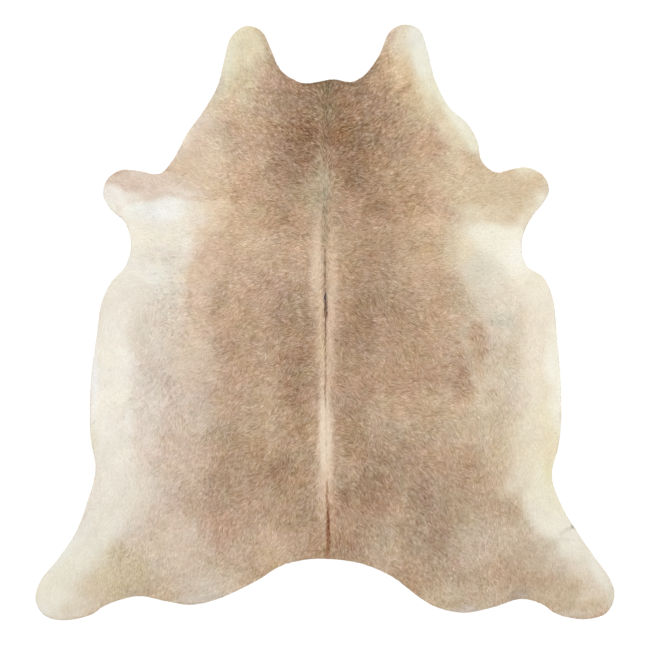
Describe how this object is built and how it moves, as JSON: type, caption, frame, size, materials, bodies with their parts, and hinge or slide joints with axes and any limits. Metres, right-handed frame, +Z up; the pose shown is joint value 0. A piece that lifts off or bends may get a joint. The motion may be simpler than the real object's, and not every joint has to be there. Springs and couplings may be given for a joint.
{
  "type": "cowhide rug",
  "caption": "Flat cowhide floor rug laid hair side up: a whole hide cut round its neck, cheeks, forelegs, bellies and hind shanks.",
  "frame": {"origin": "on the floor, under the middle of the hide's outline", "axes": "+Z up through the coat, +Y along the spine to the neck, +X to the right with the neck ahead"},
  "size_m": [2.034, 2.094, 0.0091],
  "materials": {
    "coat": "short lying hair, tan and cream, soft sheen"
  },
  "bodies": {
    "root": {"hide": "coat"}
  },
  "joints": []
}
